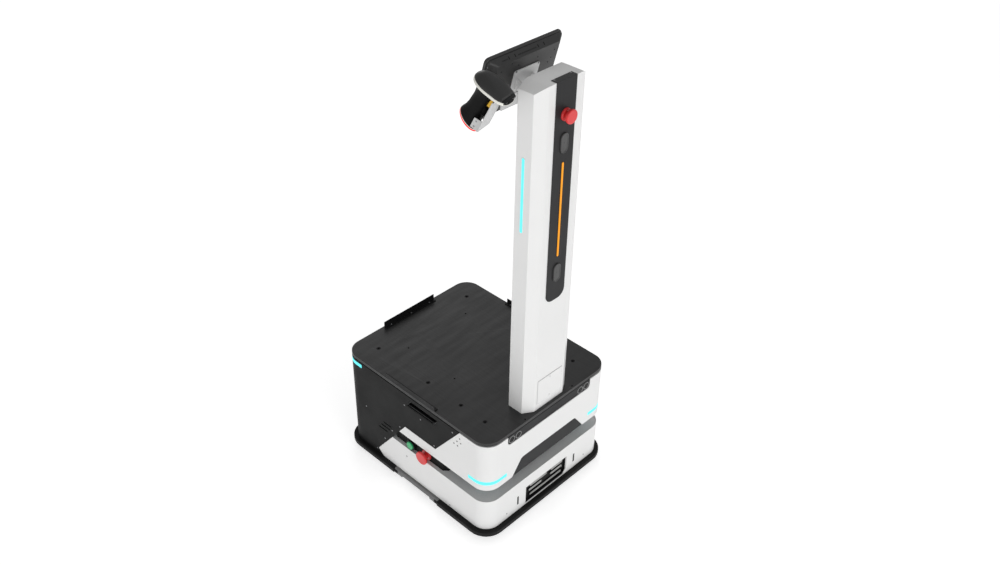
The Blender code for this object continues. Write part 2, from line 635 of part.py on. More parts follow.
def scanner_head_loop(front, back, half, up, steps=32):
    """Plan of the scanner head at one height: a round back and a blunt nose."""
    loop = []
    middle = 8.0 if front > 20 else (front + back) / 2
    for k in range(steps):
        a = 2 * math.pi * k / steps
        c, s = math.cos(a), math.sin(a)
        reach = front - middle if c > 0 else middle - back
        blunt = 0.42 if c > 0 else 0.95
        forward = middle + reach * math.copysign(abs(c) ** blunt, c)
        across = half * math.copysign(abs(s) ** (0.8 if c > 0 else 0.95), s) * (1 - 0.08 * max(c, 0))
        loop.append(scanner_point(forward, across, up))
    return loop


def handle_loop(forward, up, half_f, half_s, lean=0.0, steps=20):
    """Oval section of the handle, lower at its front where it leans."""
    return [scanner_point(forward + half_f * x, half_s * y, up - lean * half_f * x)
            for x, y in arc(0, 0, 1, 0, 360, steps)[:-1]][::-1]


def scanner():
    """Hand scanner: head, handle and trigger."""
    rows = [(56, -35, 30, -3.5), (61, -38, 33, -1.5), (62.5, -39, 34, 0), (62.5, -39, 34, 7),
            (54, -38.5, 33.5, 8.5), (46, -37, 31.5, 12), (36, -34, 28, 15.5), (24, -30, 22, 19.5),
            (10, -24, 14, 22.2), (-2, -16, 6, 23.3)]
    head = loft("scanner_head", [scanner_head_loop(*row) for row in rows], (DECK_BLACK, 0.45, 0.0), smooth=50.0)
    cut(head, loft("window_bay", [[scanner_point(f, s, u) for f, u in ((50, 1.5), (70, 1.5), (70, 12), (50, 12))]
                                  for s in (-25, 25)]))
    grip_rows = [(-5, -HANDLE_L, 27, 22, BASE_LEAN), (-5, 2 - HANDLE_L, 29, 23.5, BASE_LEAN),
                 (-5, 9 - HANDLE_L, 28.5, 23, BASE_LEAN), (-4, 24 - HANDLE_L, 25, 20.5, 0.28),
                 (-3, 45 - HANDLE_L, 22.5, 19, 0.08), (-1, 75 - HANDLE_L, 22, 18.5),
                 (0, 96 - HANDLE_L, 24, 20), (0, 106.2 - HANDLE_L, 28, 24)]
    handle = loft("scanner_handle", [handle_loop(*row) for row in grip_rows], (RUBBER, 0.6, 0.0), smooth=50.0)
    guard = [(10, -46), (27, -50), (30.5, -58), (27, -68), (10, -72)]
    join(handle, loft("finger_guard", [[scanner_point(f, s, u) for f, u in guard] for s in (-9, 9)]))
    cut(handle, loft("trigger_bay", [[scanner_point(f, s, u) for f, u in
                                      ((11, -21.5), (40, -21.5), (40, -45.5), (11, -45.5))] for s in (-7, 7)]))
    bay = [(16, -23), (26, -23), (29, -28), (29.5, -36), (27.5, -43), (16, -43)]
    trigger = loft("scanner_trigger", [[scanner_point(f, s, u) for f, u in bay] for s in (-6, 6)],
                   (YELLOW, 0.4, 0.0))
    for piece in (head, handle, trigger):
        pivot(piece, SCANNER_AT)

    plate = [[scanner_point(f, s, u) for s, u in ((-25, -104), (25, -104), (25, -12), (-25, -12))]
             for f in (32, 34.5)]
    holder = loft("scanner_holder", plate, (GREY, 0.45, 0.5))
    for side in (-1, 1):
        wing = [[scanner_point(f, side * s, u) for f, u in ((33, -72), (12, -76), (12, -103.5), (33, -103.5))]
                for s in (22.5, 24.5)]
        join(holder, loft("wing", wing))
    arm = block("arm", (-140, -44), (MAST_BACK_Y + GAP, MAST_BACK_Y + 4.3), (1288, 1318))
    join(holder, arm)


def tidy_shading():
    """Keep flat faces flat where a cut piece is shaded smooth."""
    for obj in bpy.data.objects:
        if obj.modifiers and not obj.hide_render:
            obj.modifiers.new("even_normals", "WEIGHTED_NORMAL").keep_sharp = True


def build():
    clear_scene()
    chassis()
    lidar()
    for side, label in ((-1, "left"), (1, "right")):
        drive_unit(side, label)
        for end, row in ((-1, "front"), (1, "rear")):
            caster(side, end, row + "_" + label)
    covers()
    bumpers()
    front_details()
    side_panel()
    deck()
    mast()
    tablet()
    scanner()
    tidy_shading()


build()
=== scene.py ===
"""Looks of the mobile picking robot: materials, small details, floor, light and camera."""

import math

import bmesh
import bpy
from mathutils import Matrix, Vector


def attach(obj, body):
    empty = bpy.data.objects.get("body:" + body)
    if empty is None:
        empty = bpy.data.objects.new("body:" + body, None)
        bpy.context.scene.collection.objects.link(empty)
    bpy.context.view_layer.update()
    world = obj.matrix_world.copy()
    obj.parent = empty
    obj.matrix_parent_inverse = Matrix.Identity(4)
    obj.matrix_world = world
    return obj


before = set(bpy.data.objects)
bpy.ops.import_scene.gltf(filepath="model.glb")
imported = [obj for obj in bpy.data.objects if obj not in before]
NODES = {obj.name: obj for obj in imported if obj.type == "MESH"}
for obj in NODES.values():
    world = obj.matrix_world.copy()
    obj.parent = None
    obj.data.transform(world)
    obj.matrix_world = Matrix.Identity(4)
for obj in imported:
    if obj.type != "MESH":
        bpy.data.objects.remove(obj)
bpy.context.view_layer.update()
MM = 0.001

# ---------------------------------------------------------------- camera, floor and light
CAMERA_AT = Vector((-1.7065, -1.7011, 2.3851))
CAMERA_AZIMUTH, CAMERA_ELEVATION, CAMERA_ROLL = (math.radians(v) for v in (-46.645, 35.992, 1.204))
CAMERA_LENS = 38.68


def make_camera():
    a, e, r = CAMERA_AZIMUTH, CAMERA_ELEVATION, CAMERA_ROLL
    back = Vector((math.sin(a) * math.cos(e), -math.cos(a) * math.cos(e), math.sin(e)))
    level = Vector((math.cos(a), math.sin(a), 0))
    top = back.cross(level)
    right = level * math.cos(r) + top * math.sin(r)
    up = top * math.cos(r) - level * math.sin(r)
    camera = bpy.data.objects.new("camera", bpy.data.cameras.new("camera"))
    camera.data.lens = CAMERA_LENS
    camera.data.sensor_width = 36
    camera.matrix_world = Matrix.Translation(CAMERA_AT) @ Matrix((right, up, back)).transposed().to_4x4()
    bpy.context.scene.collection.objects.link(camera)
    bpy.context.scene.camera = camera


def area_light(name, position, size, power):
    light = bpy.data.lights.new(name, "AREA")
    light.shape = "DISK"
    light.size = size
    light.energy = power
    obj = bpy.data.objects.new(name, light)
    obj.location = position
    obj.rotation_euler = (Vector((0, 0, 0.6)) - Vector(position)).to_track_quat("-Z", "Y").to_euler()
    bpy.context.scene.collection.objects.link(obj)


def make_studio():
    world = bpy.data.worlds.new("studio")
    bpy.context.scene.world = world
    world.use_nodes = True
    tree = world.node_tree
    fill = tree.nodes["Background"]
    fill.inputs["Color"].default_value = (1, 1, 1, 1)
    fill.inputs["Strength"].default_value = 0.42
    area_light("front_key", (-0.9, -4.6, 1.7), 3.4, 60)
    area_light("side_fill", (-4.6, -0.6, 1.5), 3.0, 22)
    area_light("rear_rim", (2.8, 3.6, 3.0), 2.4, 22)

    mesh = bpy.data.meshes.new("floor")
    half = 14.0
    corners = [(-half, -half, 0), (half, -half, 0), (half, half, 0), (-half, half, 0)]
    mesh.from_pydata(corners, [], [(0, 1, 2, 3)])
    floor = bpy.data.objects.new("floor", mesh)
    bpy.context.scene.collection.objects.link(floor)
    material = Surface("pale_floor", (0.86, 0.86, 0.86), 0.6)
    material.shader.inputs["Emission Color"].default_value = (1, 1, 1, 1)
    material.shader.inputs["Emission Strength"].default_value = 0.60
    material.mottle(3.0, 0.01)
    floor.data.materials.append(material.done())
    bpy.context.scene.view_settings.view_transform = "Standard"


# ---------------------------------------------------------------- materials
class Surface:
    """A Principled material built up from object-space procedural layers."""

    def __init__(self, name, colour, roughness, metallic=0.0, specular=0.5, coat=0.0):
        self.material = bpy.data.materials.new(name)
        self.material.use_nodes = True
        self.tree = self.material.node_tree
        self.shader = self.tree.nodes["Principled BSDF"]
        self.shader.inputs["Metallic"].default_value = metallic
        self.shader.inputs["Specular IOR Level"].default_value = specular
        self.shader.inputs["Coat Weight"].default_value = coat
        self.shader.inputs["Coat Roughness"].default_value = 0.15
        self.place = self.node("ShaderNodeTexCoord").outputs["Object"]
        self.roughness = roughness
        self.colour = self.node("ShaderNodeRGB").outputs[0]
        self.colour.default_value = (*colour, 1)
        self.rough = None
        self.normal = None

    def node(self, kind, **settings):
        made = self.tree.nodes.new(kind)
        for key, value in settings.items():
            setattr(made, key, value)
        return made

    def link(self, source, target):
        self.tree.links.new(source, target)

    def noise(self, scale, detail=3.0, stretch=(1, 1, 1)):
        mapping = self.node("ShaderNodeMapping")
        mapping.inputs["Scale"].default_value = stretch
        self.link(self.place, mapping.inputs["Vector"])
        noise = self.node("ShaderNodeTexNoise")
        noise.inputs["Scale"].default_value = scale
        noise.inputs["Detail"].default_value = detail
        self.link(mapping.outputs[0], noise.inputs["Vector"])
        return noise.outputs["Fac"]

    def spread(self, source, low, high):
        """Stretch a 0.3 to 0.7 signal over low to high."""
        ranged = self.node("ShaderNodeMapRange")
        ranged.inputs["From Min"].default_value = 0.3
        ranged.inputs["From Max"].default_value = 0.7
        ranged.inputs["To Min"].default_value = low
        ranged.inputs["To Max"].default_value = high
        self.link(source, ranged.inputs["Value"])
        return ranged.outputs[0]

    def shade_by(self, factor):
        """Multiply the colour by a scalar signal."""
        mix = self.node("ShaderNodeVectorMath", operation="SCALE")
        self.link(self.colour, mix.inputs[0])
        self.link(factor, mix.inputs["Scale"])
        self.colour = mix.outputs[0]

    def mottle(self, scale, amount, stretch=(1, 1, 1)):
        """Slow variation of colour."""
        self.shade_by(self.spread(self.noise(scale, 4.0, stretch), 1 - amount, 1 + amount))
        return self

    def grain(self, scale, height, stretch=(1, 1, 1), tint=0.0):
        """Fine relief, with an optional tint that follows it."""
        fine = self.noise(scale, 2.0, stretch)
        bump = self.node("ShaderNodeBump")
        bump.inputs["Strength"].default_value = 0.5
        bump.inputs["Distance"].default_value = height * MM
        self.link(fine, bump.inputs["Height"])
        if self.normal:
            self.link(self.normal, bump.inputs["Normal"])
        self.normal = bump.outputs[0]
        if tint:
            self.shade_by(self.spread(fine, 1 - tint, 1 + tint))
        return self

    def smudge(self, scale, amount, stretch=(1, 1, 1)):
        """Variation of gloss, as from handling."""
        self.rough = self.spread(self.noise(scale, 5.0, stretch), self.roughness - amount,
                                 self.roughness + amount)
        return self

    def edge_wear_and_highlight(self, amount):
        """Lighten the raised edges a little: partly paint wear, partly a painted highlight where the edges
        would catch light.
        """
        point = self.node("ShaderNodeNewGeometry").outputs["Pointiness"]
        ranged = self.node("ShaderNodeMapRange")
        ranged.inputs["From Min"].default_value = 0.52
        ranged.inputs["From Max"].default_value = 0.62
        ranged.inputs["To Min"].default_value = 1.0
        ranged.inputs["To Max"].default_value = 1.0 + amount
        self.link(point, ranged.inputs["Value"])
        self.shade_by(ranged.outputs[0])
        return self

    def glow(self, colour, strength):
        self.shader.inputs["Emission Color"].default_value = (*colour, 1)
        self.shader.inputs["Emission Strength"].default_value = strength
        return self

    def done(self):
        self.link(self.colour, self.shader.inputs["Base Color"])
        if self.rough is None:
            self.smudge(9.0, 0.04)
        self.link(self.rough, self.shader.inputs["Roughness"])
        if self.normal:
            self.link(self.normal, self.shader.inputs["Normal"])
        return self.material


def make_materials():
    made = {}

    def add(name, surface):
        made[name] = surface.done()

    add("white_cover", Surface("white_cover", (0.80, 0.80, 0.795), 0.38, coat=0.15)
        .mottle(4.0, 0.012).grain(900, 0.05).smudge(11, 0.05))
    add("dark_cover", Surface("dark_cover", (0.0098, 0.0100, 0.0100), 0.52, specular=0.10)
        .mottle(6.0, 0.06).grain(1300, 0.12, tint=0.10).smudge(14, 0.06))
    add("deck_paint", Surface("deck_paint", (0.0205, 0.0205, 0.0210), 0.46, specular=0.38)
        .mottle(5.0, 0.08).grain(10, 0.10, (30, 1, 1), tint=0.16).smudge(8, 0.06, (1, 6, 1)).edge_wear_and_highlight(0.5))
    add("strip_black", Surface("strip_black", (0.0215, 0.0215, 0.0225), 0.42, specular=0.14)
        .mottle(7.0, 0.05).grain(9, 0.06, (60, 60, 1), tint=0.10).smudge(12, 0.05))
    add("bumper_rubber", Surface("bumper_rubber", (0.009, 0.009, 0.009), 0.60, specular=0.16)
        .mottle(9.0, 0.12).grain(700, 0.2, tint=0.12).smudge(20, 0.08))
    add("wheel_rubber", Surface("wheel_rubber", (0.020, 0.020, 0.021), 0.75, specular=0.3)
        .mottle(30.0, 0.15).grain(500, 0.3, tint=0.2).smudge(40, 0.1))
    add("grey_plate", Surface("grey_plate", (0.50, 0.50, 0.50), 0.45, metallic=0.15)
        .mottle(8.0, 0.03).grain(120, 0.04, (6, 1, 1), tint=0.03).smudge(16, 0.07).edge_wear_and_highlight(0.2))
    # The same grey plate as the holder, made lighter on the tilt bracket as painted light against the shade
    # that falls on it.
    add("bracket_grey_painted_light", Surface("bracket_grey_painted_light", (0.80, 0.80, 0.80), 0.42, metallic=0.1)
        .mottle(8.0, 0.03).grain(120, 0.04, (6, 1, 1), tint=0.03).smudge(16, 0.07).edge_wear_and_highlight(0.15))
    add("seam_grey", Surface("seam_grey", (0.46, 0.46, 0.46), 0.60)
        .mottle(20.0, 0.05).grain(900, 0.03).smudge(30, 0.06))
    add("slot_grey", Surface("slot_grey", (0.74, 0.74, 0.74), 0.50)
        .mottle(8.0, 0.04).grain(400, 0.05, tint=0.04).smudge(16, 0.06))
    add("arch_grey", Surface("arch_grey", (0.16, 0.16, 0.16), 0.55)
        .mottle(14.0, 0.10).grain(500, 0.1, tint=0.08).smudge(16, 0.06))
    add("steel", Surface("steel", (0.48, 0.48, 0.49), 0.36, metallic=0.9)
        .mottle(12.0, 0.06).grain(90, 0.05, (10, 1, 1), tint=0.06).smudge(18, 0.08).edge_wear_and_highlight(0.3))
    add("motor_metal", Surface("motor_metal", (0.36, 0.36, 0.37), 0.42, metallic=0.9)
        .mottle(22.0, 0.08).grain(300, 0.1, tint=0.08).smudge(25, 0.08))
    add("battery_case", Surface("battery_case", (0.028, 0.030, 0.034), 0.5)
        .mottle(9.0, 0.06).grain(800, 0.15, tint=0.1).smudge(10, 0.06))
    add("black_trim", Surface("black_trim", (0.009, 0.009, 0.0095), 0.45, specular=0.16)
        .mottle(9.0, 0.08).grain(900, 0.05, tint=0.08).smudge(13, 0.06))
    add("window_black", Surface("window_black", (0.020, 0.020, 0.021), 0.42, specular=0.12)
        .mottle(5.0, 0.05).grain(600, 0.02).smudge(9, 0.06))
    add("screen_glass", Surface("screen_glass", (0.005, 0.0055, 0.0065), 0.18, specular=0.35)
        .mottle(7.0, 0.1).grain(900, 0.01).smudge(12, 0.05))
    # The tablet's raised edges are lightened as a painted highlight along its rear edge.
    add("tablet_black", Surface("tablet_black", (0.028, 0.028, 0.028), 0.46)
        .mottle(12.0, 0.05).grain(1500, 0.15, tint=0.10).smudge(15, 0.06).edge_wear_and_highlight(0.6))
    add("scanner_shell", Surface("scanner_shell", (0.024, 0.024, 0.024), 0.36, specular=0.42, coat=0.08)
        .mottle(14.0, 0.05).grain(1600, 0.10, tint=0.08).smudge(18, 0.06))
    add("grip_rubber", Surface("grip_rubber", (0.0045, 0.0045, 0.0045), 0.50, specular=0.10)
        .mottle(14.0, 0.10).grain(1400, 0.15, tint=0.12).smudge(18, 0.06))
    add("cream_plastic", Surface("cream_plastic", (0.80, 0.79, 0.73), 0.35, coat=0.2)
        .mottle(14.0, 0.02).grain(900, 0.03).smudge(18, 0.05))
    add("estop_red", Surface("estop_red", (0.72, 0.030, 0.032), 0.42, coat=0.15)
        .mottle(14.0, 0.05).grain(900, 0.05).smudge(30, 0.07))
    # The red base ring is no lamp: its glow is a painted glow that keeps it bright and saturated.
    add("ring_red_painted_glow", Surface("ring_red_painted_glow", (0.90, 0.004, 0.004), 0.45, specular=0.1)
        .mottle(20.0, 0.05).grain(900, 0.04).smudge(30, 0.05).glow((1.0, 0.0, 0.0), 0.35))
    add("start_green", Surface("start_green", (0.016, 0.33, 0.11), 0.35, coat=0.2)
        .mottle(20.0, 0.06).grain(900, 0.04).smudge(30, 0.06).glow((0.02, 0.5, 0.2), 0.12))
    add("button_dark", Surface("button_dark", (0.052, 0.052, 0.052), 0.44)
        .mottle(20.0, 0.05).grain(1200, 0.08, tint=0.05).smudge(30, 0.06))
    # The trigger is no lamp: its lighter colour and glow are painted light against the shade it sits in.
    add("trigger_yellow", Surface("trigger_yellow", (0.86, 0.50, 0.01), 0.38)
        .mottle(20.0, 0.05).grain(900, 0.05).smudge(30, 0.06).glow((0.9, 0.5, 0.02), 0.10))
    add("cyan_light", Surface("cyan_light", (0.03, 0.22, 0.23), 0.45, specular=0.1)
        .mottle(8.0, 0.05).grain(600, 0.02).smudge(30, 0.05).glow((0.17, 0.93, 0.97), 0.95))
    add("orange_light", Surface("orange_light", (0.20, 0.08, 0.002), 0.45, specular=0.1)
        .mottle(8.0, 0.05).grain(600, 0.02).smudge(30, 0.05).glow((1.0, 0.37, 0.02), 0.92))
    add("screw_steel", Surface("screw_steel", (0.30, 0.30, 0.31), 0.35, metallic=0.85)
        .mottle(60.0, 0.08).grain(900, 0.03).smudge(60, 0.08))
    add("contact_metal", Surface("contact_metal", (0.40, 0.40, 0.39), 0.36, metallic=0.25)
        .mottle(50.0, 0.15, (1, 1, 3)).grain(300, 0.05, (8, 1, 1), tint=0.1).smudge(60, 0.08))
    add("ring_grey", Surface("ring_grey", (0.30, 0.30, 0.30), 0.42)
        .mottle(60.0, 0.08).grain(900, 0.03).smudge(60, 0.08))
    return made


make_camera()
make_studio()
MATERIALS = make_materials()

NODE_MATERIALS = {
    "white_cover": "lower_cover upper_cover mast_cover mast_rear_cover access_cover",
    "dark_cover": "rear_cover side_panel",
    "deck_paint": "deck_plate",
    "strip_black": "control_strip",
    "bumper_rubber": "front_bumper rear_bumper",
    "wheel_rubber": "drive_wheel_left drive_wheel_right caster_wheel_front_left caster_wheel_front_right "
                    "caster_wheel_rear_left caster_wheel_rear_right",
    "grey_plate": "tablet_mount scanner_holder",
    "bracket_grey_painted_light": "tilt_bracket",
    "slot_grey": "slot_floor",
    "arch_grey": "wheel_arch_panel_left wheel_arch_panel_right",
    "steel": "chassis_plate body_frame mast_spine caster_fork_front_left caster_fork_front_right "
             "caster_fork_rear_left caster_fork_rear_right",
    "motor_metal": "gear_motor_left gear_motor_right control_computer",
    "battery_case": "battery_pack",
    "black_trim": "lidar_sensor charge_port grip_cup_left grip_cup_right tote_rail_rear tote_rail_left "
                  "tote_rail_right",
    "window_black": "sensor_strip camera_window",
    "tablet_black": "tablet_housing tablet_front",
    "scanner_shell": "scanner_head",
    "grip_rubber": "scanner_handle",
    "estop_red": "mast_estop_head side_estop_head",
    "start_green": "start_button",
    "button_dark": "pill_button_upper pill_button_lower",
    "trigger_yellow": "scanner_trigger",
    "cyan_light": "front_light_left front_light_right rear_light_left rear_light_right mast_light_left "
                  "mast_light_right",
    "orange_light": "status_light",
}
EDGE_ROUNDING = {"deck_plate": 0.4, "mast_cover": 1.2, "lower_cover": 0.8, "upper_cover": 0.8,
                 "rear_cover": 0.6, "mast_light_left": 0.0, "mast_light_right": 0.0, "status_light": 0.0,
                 "access_cover": 0.25, "front_light_left": 0.0, "front_light_right": 0.0,
                 "rear_light_left": 0.0, "rear_light_right": 0.0, "scanner_head": 0.0,
                 "scanner_handle": 0.0}


def dress_nodes():
    """Give every CAD node its material, and rounded edges that catch the light."""
    for slot, names in NODE_MATERIALS.items():
        for name in names.split():
            node = NODES[name]
            node.data.materials.clear()
            node.data.materials.append(MATERIALS[slot])
            for polygon in node.data.polygons:
                polygon.material_index = 0
                polygon.use_smooth = True
            node.modifiers.new("weld", "WELD").merge_threshold = 0.00001
            flat = node.modifiers.new("flat_faces", "DECIMATE")
            flat.decimate_type = "DISSOLVE"
            flat.angle_limit = math.radians(0.3)
            width = EDGE_ROUNDING.get(name, 0.35)
            if width:
                bevel = node.modifiers.new("round_edges", "BEVEL")
                bevel.width = width * MM
                bevel.segments = 2
                bevel.limit_method = "ANGLE"
                bevel.angle_limit = math.radians(32)
                bevel.harden_normals = False
            node.modifiers.new("even_normals", "WEIGHTED_NORMAL").keep_sharp = False


dress_nodes()


# ---------------------------------------------------------------- detail shapes (millimetres)
def placed(centre, axis, across=None):
    """Local frame with z along axis and, where given, x along across."""
    z = Vector(axis).normalized()
    x = Vector(across) if across else (Vector((0, 0, 1)) if abs(z.z) < 0.9 else Vector((1, 0, 0)))
    x = (x - z * x.dot(z)).normalized()
    frame_matrix = Matrix((x, z.cross(x), z)).transposed().to_4x4()
    frame_matrix.translation = Vector(centre)
    return frame_matrix


def skin(mesh, loops, closed_tube=False):
    """Add a closed surface through a stack of equal loops of points."""
    rows = [[mesh.verts.new(p) for p in loop] for loop in loops]
    count = len(rows[0])
    pairs = list(zip(rows, rows[1:]))
    if closed_tube:
        pairs.append((rows[-1], rows[0]))
    for low, high in pairs:
        for k in range(count):
            nxt = (k + 1) % count
            mesh.faces.new((low[k], low[nxt], high[nxt], high[k]))
    if not closed_tube:
        mesh.faces.new(rows[0][::-1])
        mesh.faces.new(rows[-1])


def lathe(mesh, at, profile, steps=24, closed_tube=False):
    """Turn (height, radius) pairs about the local z axis."""
    turns = [2 * math.pi * k / steps for k in range(steps)]
    loops = [[at @ Vector((radius * math.cos(a), radius * math.sin(a), height)) for a in turns]
             for height, radius in profile]
    skin(mesh, loops, closed_tube)


def slab(mesh, at, outline, low, high, edge=0.3):
    """A flat plate over a local outline, with a small chamfer round its top."""
    middle = Vector((sum(p[0] for p in outline), sum(p[1] for p in outline))) / len(outline)
    inner = []
    for p in outline:
        reach = Vector(p) - middle
        inner.append(middle + reach * max(0.0, 1 - edge / max(reach.length, 1e-6)))
    loops = [[at @ Vector((*p, z)) for p in loop]
             for loop, z in ((outline, low), (outline, high - edge), (inner, high))]
    skin(mesh, loops)


def rounded(half_u, half_v, radius, centre=(0, 0), steps=4):
    """Counter-clockwise rounded rectangle."""
    outline = []
    for su, sv, start in ((1, 1, 0), (-1, 1, 90), (-1, -1, 180), (1, -1, 270)):
        for k in range(steps + 1):
            a = math.radians(start + 90 * k / steps)
            outline.append((centre[0] + su * (half_u - radius) + radius * math.cos(a),
                            centre[1] + sv * (half_v - radius) + radius * math.sin(a)))
    return outline


class Detail:
    """A batch of small shapes that become one named piece riding on one body."""

    def __init__(self, name, material, body, slot, smooth=35):
        self.name, self.material, self.body, self.slot, self.smooth = name, material, body, slot, smooth
        self.mesh = bmesh.new()

    def __enter__(self):
        return self.mesh

    def __exit__(self, *problem):
        bmesh.ops.scale(self.mesh, vec=(MM, MM, MM), verts=self.mesh.verts)
        bmesh.ops.recalc_face_normals(self.mesh, faces=self.mesh.faces)
        data = bpy.data.meshes.new(self.name)
        self.mesh.to_mesh(data)
        self.mesh.free()
        data.shade_smooth()
        data.set_sharp_from_angle(angle=math.radians(self.smooth))
        data.materials.append(MATERIALS[self.material])
        obj = bpy.data.objects.new(self.name, data)
        bpy.context.scene.collection.objects.link(obj)
        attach(obj, self.body)


# (height, radius) profiles
SCREW = [(-0.6, 3.1), (0.35, 3.1), (0.8, 2.6), (0.85, 1.6), (0.15, 1.4), (0.1, 0.05)]
SUNK_SCREW = [(-6, 3.0), (-3.6, 3.3), (-0.3, 6.9), (-0.2, 6.0), (-0.9, 5.4), (-1.1, 3.4), (-3.6, 3.0),
              (-3.7, 0.05)]
SENSOR_FACE = [(-0.4, 9.4), (0.3, 9.4), (0.5, 8.8), (0.1, 8.0), (0.1, 5.4), (0.5, 5.0), (0.6, 0.05)]

# levels of the faces that the details sit on
DECK_TOP = 372.0
RAIL_FOOT_TOP = DECK_TOP + 2.9
COVER_X = 250.0
COVER_Y = 293.0
SENSOR_Y = -291.6
LATCH_Y = -291.4
CONTACT_Y = -286.4
PORT_FLOOR_Y = -282.6
PANEL_X = -238
PANEL_Z = 166
STOP_Y = -41
START_Y = 20
MAST_STRIP_Y = -284.7
MAST_BACK_Y = -215.0
MOUNT_BACK_Y = -209.7
HOLDER_ARM_Y = -210.7


def scaled(profile, factor):
    return [(h * factor, r * factor) for h, r in profile]


def screws(mesh, places, axis, size, steps=24):
    for place in places:
        lathe(mesh, placed(place, axis), scaled(SCREW, size), steps)


def deck_details():
    with Detail("deck_screws", "black_trim", "base", "steel") as mesh:
        for x in (-181, 181):
            for y in (-216, -123, 10, 223):
                lathe(mesh, placed((x, y, DECK_TOP), (0, 0, 1)), SUNK_SCREW)
    with Detail("rail_screws", "screw_steel", "base", "steel") as mesh:
        side_rails = [(x, y, RAIL_FOOT_TOP) for x in (-244.4, 244.4) for y in (94, 11, -72)]
        rear_rail = [(x, 280.5, RAIL_FOOT_TOP) for x in (-80, 0, 75)]
        screws(mesh, side_rails + rear_rail, (0, 0, 1), 0.8)


def cover_details():
    dark_cover_screws = ((211, 197), (36, 314), (-31, 303), (60.8, 213), (96, 174), (131, 120), (-160, 341),
                         (-85, 238.5), (171, 52))
    white_cover_screws = ((35.5, 112.3), (-146, 45))
    for side, label in ((-1, "left"), (1, "right")):
        with Detail("cover_screws_" + label, "screw_steel", "base", "steel") as mesh:
            places = [(side * COVER_X, y, z) for y, z in dark_cover_screws + white_cover_screws]
            screws(mesh, places, (side, 0, 0), 0.8, 16)
        with Detail("speaker_holes_" + label, "black_trim", "base", "black_trim") as mesh:
            for y, z in ((-188.5, 336.6), (-177.5, 320.7), (-165.8, 305.9), (-192.4, 321.4), (-179.9, 305.2)):
                lathe(mesh, placed((side * COVER_X, y, z), (side, 0, 0)),
                      [(-0.5, 2.2), (0.25, 2.2), (0.3, 1.9), (0.1, 1.5), (0.08, 0.05)], 14)
    with Detail("front_cover_screws", "screw_steel", "base", "steel") as mesh:
        screws(mesh, [(x, -COVER_Y, 58) for x in (-167, 167)], (0, -1, 0), 0.7, 16)
    with Detail("rear_cover_screws", "screw_steel", "base", "steel") as mesh:
        screws(mesh, [(x, COVER_Y, z) for x in (-160, 0, 160) for z in (62, 318)], (0, 1, 0), 0.8, 16)
    with Detail("rear_vents", "black_trim", "base", "dark_cover") as mesh:
        for k in range(5):
            slab(mesh, placed((0, COVER_Y - 0.3, 100 + 11 * k), (0, 1, 0), (1, 0, 0)),
                 rounded(42, 2.0, 1.9), 0, 0.55, 0.1)
    with Detail("sensor_rings", "ring_grey", "base", "black_trim") as mesh:
        for x in (-154, -128, 128, 154):
            lathe(mesh, placed((x, SENSOR_Y, 341), (0, -1, 0)),
                  [(-0.5, 11.2), (0.8, 11.2), (1.1, 10.9), (1.1, 9.9), (0.8, 9.6), (-0.5, 9.6)], 32, True)
    with Detail("sensor_faces", "black_trim", "base", "black_trim") as mesh:
        for x in (-154, -128, 128, 154):
            lathe(mesh, placed((x, SENSOR_Y, 341), (0, -1, 0)), SENSOR_FACE)
    with Detail("charge_contacts", "contact_metal", "base", "steel") as mesh:
        for z, spans in ((92, ((-66, 8), (24, 76))), (76, ((-70, -14), (22, 74))), (56, ((-66, 72),))):
            for low, high in spans:
                at = placed(((low + high) / 2, CONTACT_Y, z), (0, -1, 0), (1, 0, 0))
                half = (high - low) / 2 - 1
                slab(mesh, at, rounded(half, 3.6, 3.4), 0, 1.0)
                for k in range(int(half // 5) * 2 - 1):
                    u = (k - int(half // 5) + 1) * 5
                    slab(mesh, at, rounded(1.3, 2.4, 1.0, (u, 0)), 0.6, 1.7)
    with Detail("latch_slots", "black_trim", "base", "black_trim") as mesh:
        for x in (-121, 121):
            at = placed((x, LATCH_Y, 77), (0, -1, 0), (1, 0, 0))
            slab(mesh, at, rounded(2.9, 15.8, 0.6), -0.3, 1.45, 0.2)
    with Detail("charge_port_screws", "screw_steel", "base", "steel") as mesh:
        screws(mesh, [(x, PORT_FLOOR_Y, z) for x in (-79, 79) for z in (84, 64)], (0, -1, 0), 0.8, 14)
    with Detail("laser_window", "screen_glass", "base", "black_trim") as mesh:
        lathe(mesh, placed((0, -190, 161), (0, 0, 1)),
              [(0.6, 31.5), (0.6, 32.6), (17.6, 32.6), (17.6, 31.5)], 48, True)


def side_details():
    for side, label in ((-1, "left"), (1, "right")):
        with Detail("arch_ends_" + label, "black_trim", "base", "black_trim") as mesh:
            for y in (-96, 76):
                at = placed((side * 258.6, y, 27), (side, 0, 0), (0, 1, 0))
                slab(mesh, at, rounded(6.5, 5, 1.2), -1, 3.2)
                slab(mesh, at, rounded(2.2, 3.4, 0.8, (0, -0.6)), 3.0, 4.2)
        with Detail("arch_bolts_" + label, "screw_steel", "base", "steel") as mesh:
            places = [(side * 260.8, y, 24.6 if y < 0 else 25.4) for y in (-82, -76, 60, 66)]
            screws(mesh, places, (side, 0, 0), 0.7, 14)
    with Detail("side_estop_collar", "estop_red", "base", "estop_red") as mesh:
        lathe(mesh, placed((PANEL_X, STOP_Y, PANEL_Z), (-1, 0, 0)),
              [(0.3, 17.6), (4.4, 17.4), (5.6, 16.4), (5.6, 8.9), (0.3, 8.9)], 36, True)
    with Detail("start_button_ring", "black_trim", "base", "black_trim") as mesh:
        lathe(mesh, placed((PANEL_X, START_Y, PANEL_Z), (-1, 0, 0)),
              [(0.3, 16.8), (9.6, 16.6), (10.6, 15.6), (10.6, 13.4), (0.3, 13.4)], 36, True)


